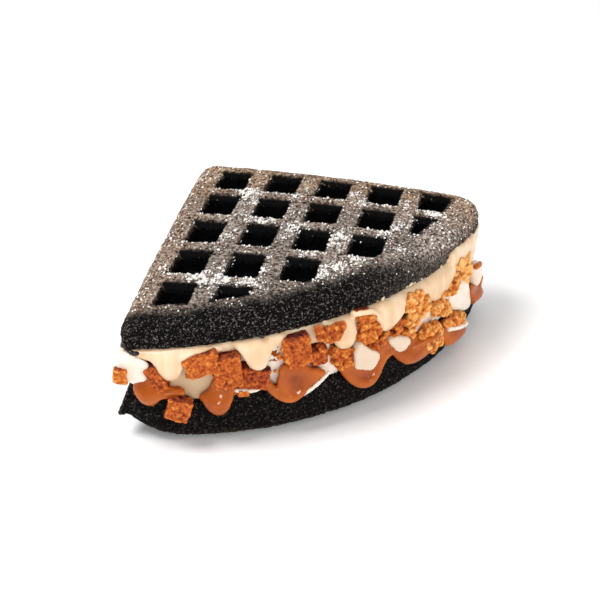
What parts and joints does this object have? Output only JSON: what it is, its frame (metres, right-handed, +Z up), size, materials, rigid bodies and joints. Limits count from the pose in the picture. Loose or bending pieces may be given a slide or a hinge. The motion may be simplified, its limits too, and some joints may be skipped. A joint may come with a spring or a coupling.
{
  "type": "filled chocolate waffle quarter",
  "caption": "Quarter of a round chocolate waffle sandwich, filled with white cream, caramel, ivory sauce and biscuit chunks that spill over its round edge.",
  "frame": {"origin": "on the lower waffle's underside, where two ribs cross, on the plane that it rests on", "axes": "+X along the straight back side, -Y along the straight left side, +Z up"},
  "size_m": [0.1031, 0.1025, 0.0465],
  "materials": {
    "waffle": "dark cocoa crumb, matt and porous",
    "cream": "white cream, soft satin",
    "sauce": "ivory sauce, glossy",
    "caramel": "caramel, glossy",
    "biscuit": "orange-brown biscuit crumb, matt"
  },
  "bodies": {
    "root": {"biscuit_01": "biscuit", "biscuit_02": "biscuit", "biscuit_03": "biscuit", "biscuit_04": "biscuit", "biscuit_05": "biscuit", "biscuit_06": "biscuit", "biscuit_07": "biscuit", "biscuit_08": "biscuit", "biscuit_09": "biscuit", "biscuit_10": "biscuit", "biscuit_11": "biscuit", "biscuit_12": "biscuit", "biscuit_13": "biscuit", "biscuit_14": "biscuit", "biscuit_15": "biscuit", "biscuit_16": "biscuit", "biscuit_17": "biscuit", "biscuit_18": "biscuit", "biscuit_19": "biscuit", "biscuit_20": "biscuit", "biscuit_21": "biscuit", "biscuit_22": "biscuit", "biscuit_23": "biscuit", "biscuit_24": "biscuit", "biscuit_25": "biscuit", "biscuit_26": "biscuit", "biscuit_27": "biscuit", "biscuit_28": "biscuit", "biscuit_29": "biscuit", "biscuit_30": "biscuit", "biscuit_31": "biscuit", "caramel": "caramel", "cream_sauce": "sauce", "waffle_bottom": "waffle", "waffle_top": "waffle", "white_cream": "cream"}
  },
  "joints": []
}
